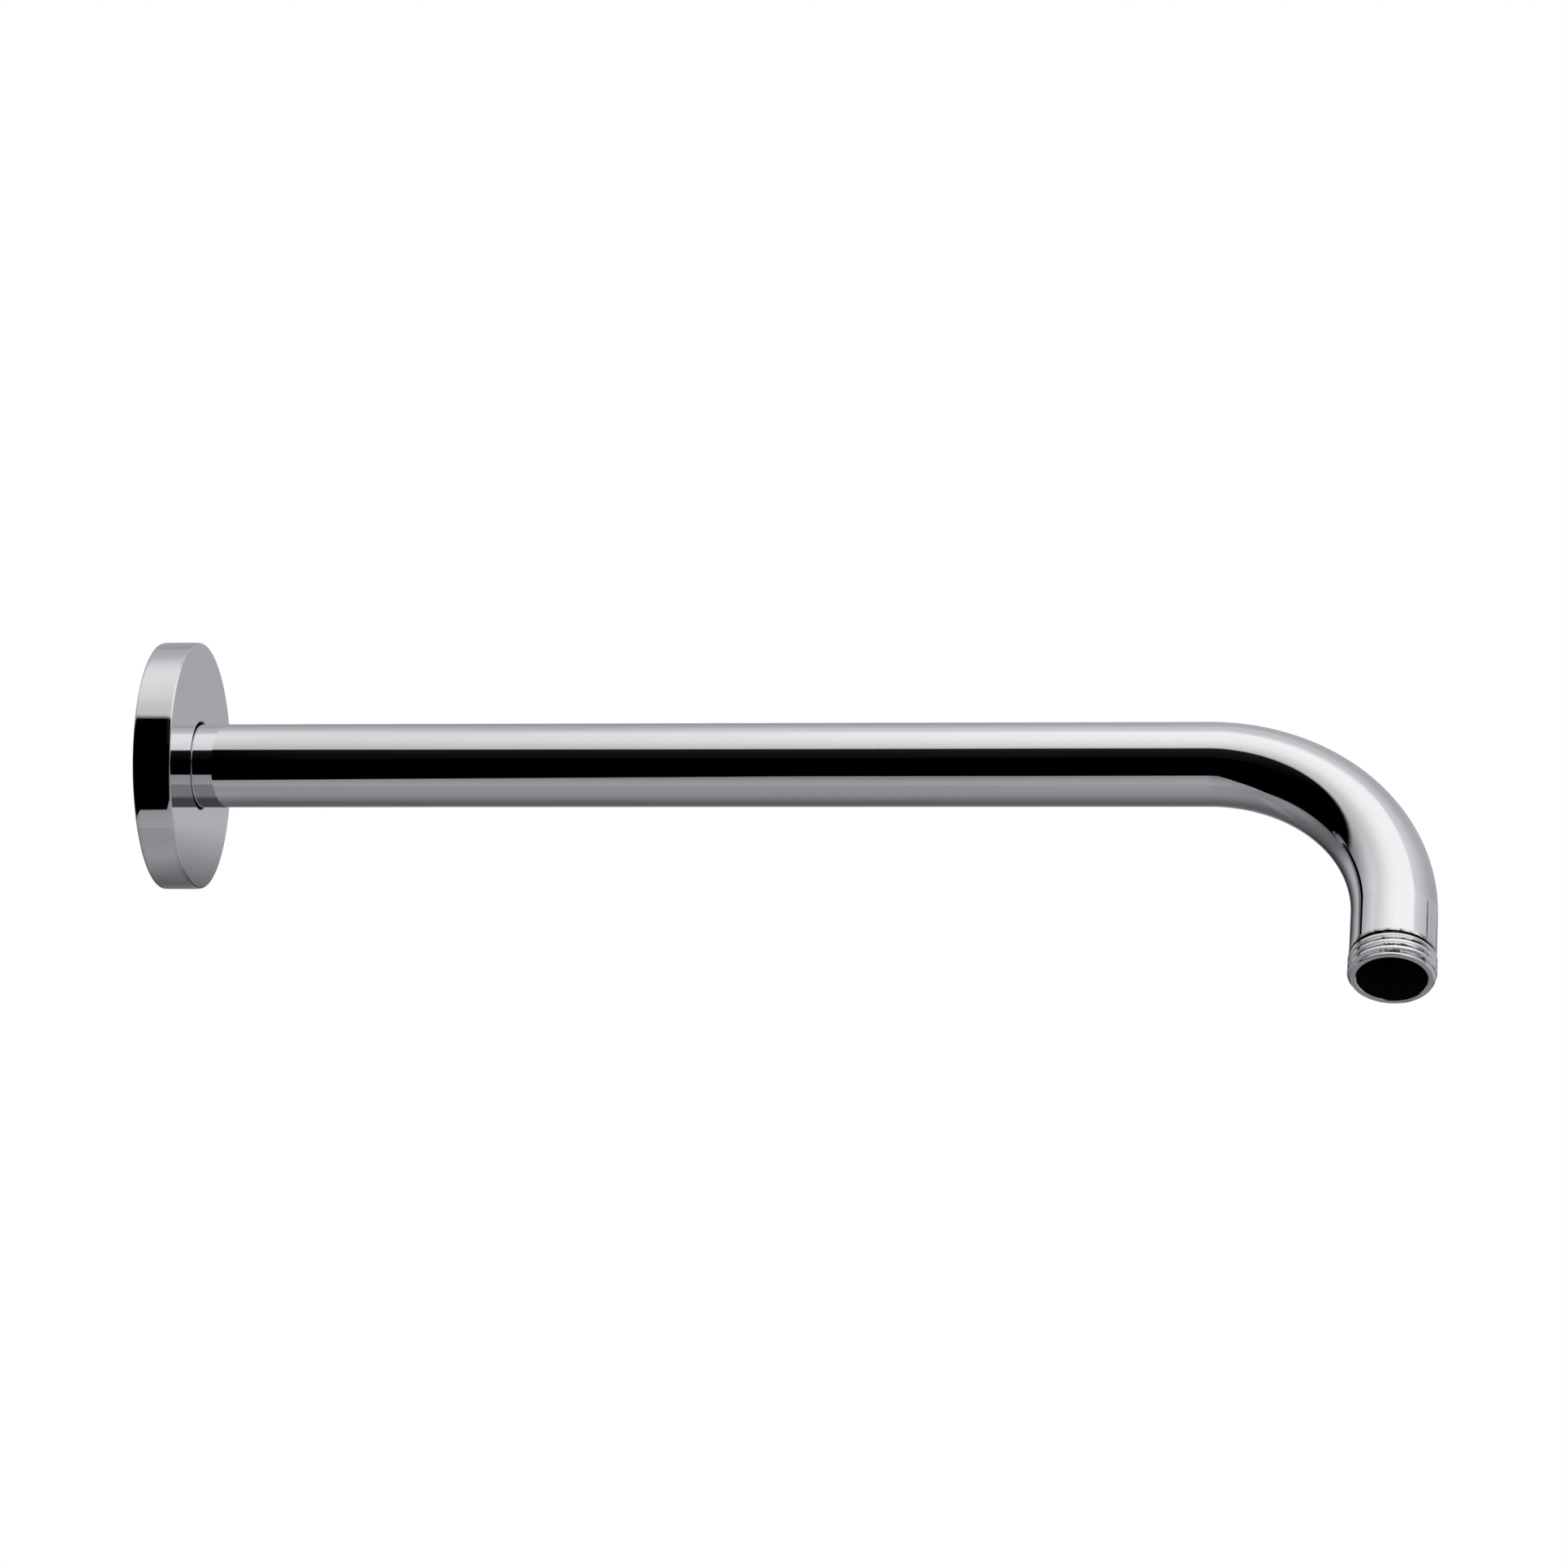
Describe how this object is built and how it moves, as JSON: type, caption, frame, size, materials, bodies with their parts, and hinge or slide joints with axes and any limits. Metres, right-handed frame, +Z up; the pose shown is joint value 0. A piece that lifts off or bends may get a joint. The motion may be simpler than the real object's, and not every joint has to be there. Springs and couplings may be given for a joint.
{
  "type": "shower arm",
  "caption": "Chromed wall shower arm: a straight round tube with a right-angle bend, male threads at the inlet and outlet, and a round flange that slides along the tube.",
  "frame": {"origin": "on the axis of the arm's straight run, in the plane of the flange's wall face", "axes": "+X along the arm away from the wall, +Z up, the outlet opening faces -Z"},
  "size_m": [0.3132, 0.06, 0.0931],
  "materials": {
    "polished_chrome": "polished",
    "black_rubber": "matte"
  },
  "bodies": {
    "arm": {"arm_tube": "polished_chrome"},
    "flange": {"wall_flange": "polished_chrome", "rubber_ring": "black_rubber"}
  },
  "joints": [
    {"name": "flange_slide", "type": "slide", "parent": "arm", "child": "flange", "axis": [1, 0, 0], "range_m": [0, 0.24]}
  ]
}
